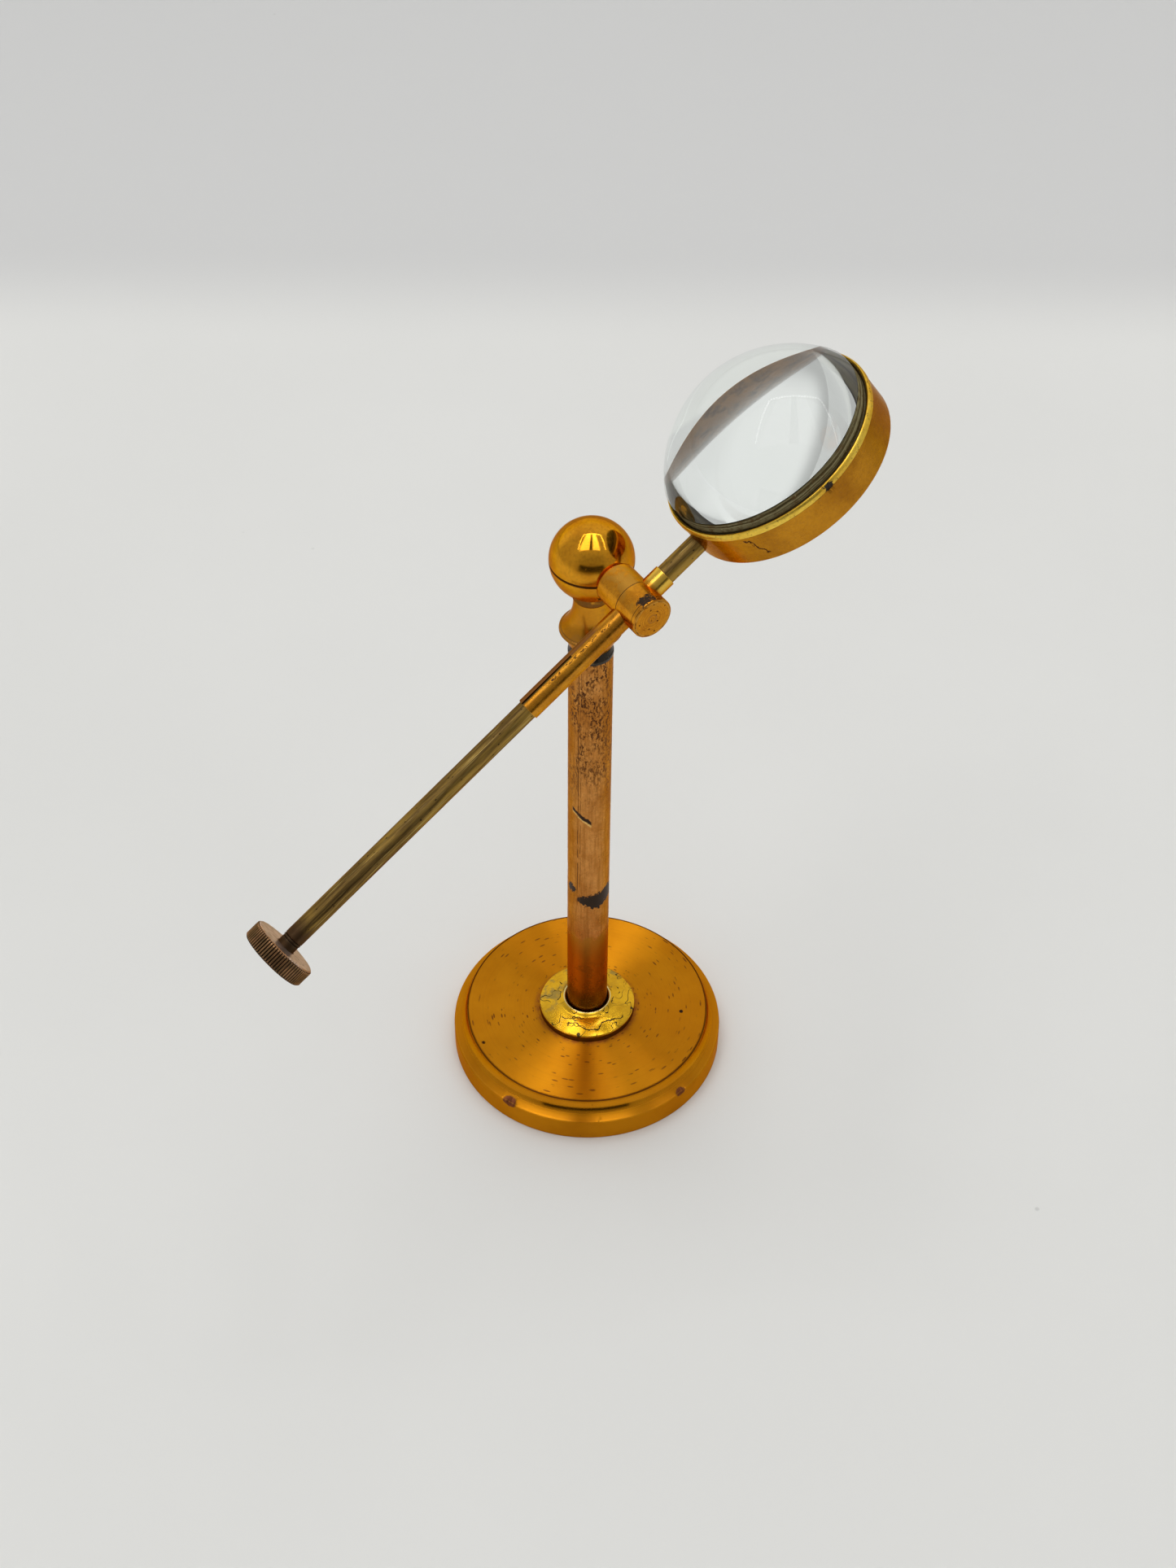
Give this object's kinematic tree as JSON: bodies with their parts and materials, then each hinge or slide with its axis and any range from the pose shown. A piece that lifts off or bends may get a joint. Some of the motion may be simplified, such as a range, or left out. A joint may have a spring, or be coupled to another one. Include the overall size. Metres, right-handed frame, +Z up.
{
  "type": "bull's-eye condenser lens on a stand",
  "caption": "Thick plano-convex bull's-eye lens in a brass cell on a sliding rod, held by a split sleeve and tilting crosshead on a ball-topped telescopic brass pillar with a round base.",
  "frame": {"origin": "centre of the base's flat underside", "axes": "+Z up the pillar, the crosshead points along -Y, the lens rod rises towards +X in a plane parallel to XZ"},
  "size_m": [0.1727, 0.0842, 0.23],
  "materials": {
    "lacquered_brass": "orange-gold lacquered brass, turned, satin",
    "collar_brass": "bright greenish-yellow brass with dark tarnish marks",
    "pillar_brass": "worn pale pinkish-brown brass tube, darker lacquer at the foot",
    "blackened_brass": "blackened brass, satin",
    "ball_brass": "polished gold-orange lacquered brass",
    "crosshead_brass": "pinkish-copper satin brass, pitted",
    "sleeve_brass": "gold lacquered brass tube, worn",
    "bronze_rod": "dark olive-bronze patina with golden streaks",
    "bronze_knob": "brown-bronze patina, bright worn edge",
    "cell_brass": "golden-orange lacquered brass",
    "lens_glass": "clear, slightly green optical glass",
    "lead": "dull grey lead",
    "baize": "dark green baize",
    "packing_leather": "greased leather",
    "screw_steel": "plain steel"
  },
  "bodies": {
    "stand": {"base_disc": "lacquered_brass", "base_weight": "lead", "base_pad": "baize", "pillar_collar": "collar_brass", "pillar_tube": "pillar_brass", "foot_stud": "lacquered_brass", "foot_nut": "screw_steel", "mouth_ring": "blackened_brass"},
    "column_slider": {"column_packing": "packing_leather"},
    "column": {"column_rod": "ball_brass", "column_tail_screw": "screw_steel", "neck_and_cup": "ball_brass", "ball_cap": "ball_brass", "ball_stud": "screw_steel"},
    "crosshead": {"pivot_stem": "crosshead_brass", "pivot_spring_washer": "screw_steel", "crosshead_inner_barrel": "crosshead_brass", "crosshead_outer_barrel": "crosshead_brass", "crosshead_end_disc": "crosshead_brass", "crosshead_screws": "screw_steel", "spring_sleeve": "sleeve_brass"},
    "rod_slider": {"knob_washer": "bronze_rod"},
    "lens_arm": {"lens_rod": "bronze_rod", "knob": "bronze_knob", "lens_cell": "cell_brass", "lens_bezel": "cell_brass", "lens": "lens_glass"}
  },
  "joints": [
    {"name": "column_lift", "type": "slide", "parent": "stand", "child": "column_slider", "axis": [0, 0, 1], "range_m": [0, 0.07]},
    {"name": "column_turn", "type": "hinge", "parent": "column_slider", "child": "column", "pos_m": [0, 0, 0.1787], "axis": [0, 0, 1], "continuous": true},
    {"name": "arm_tilt", "type": "hinge", "parent": "column", "child": "crosshead", "pos_m": [0, 0, 0.1787], "axis": [0, -1, 0], "range_deg": [-70, 180]},
    {"name": "rod_slide", "type": "slide", "parent": "crosshead", "child": "rod_slider", "axis": [0.8517, 0, 0.524], "range_m": [-0.0098, 0.0794]},
    {"name": "rod_turn", "type": "hinge", "parent": "rod_slider", "child": "lens_arm", "pos_m": [0, -0.019, 0.1787], "axis": [0.8517, 0, 0.524], "continuous": true}
  ]
}
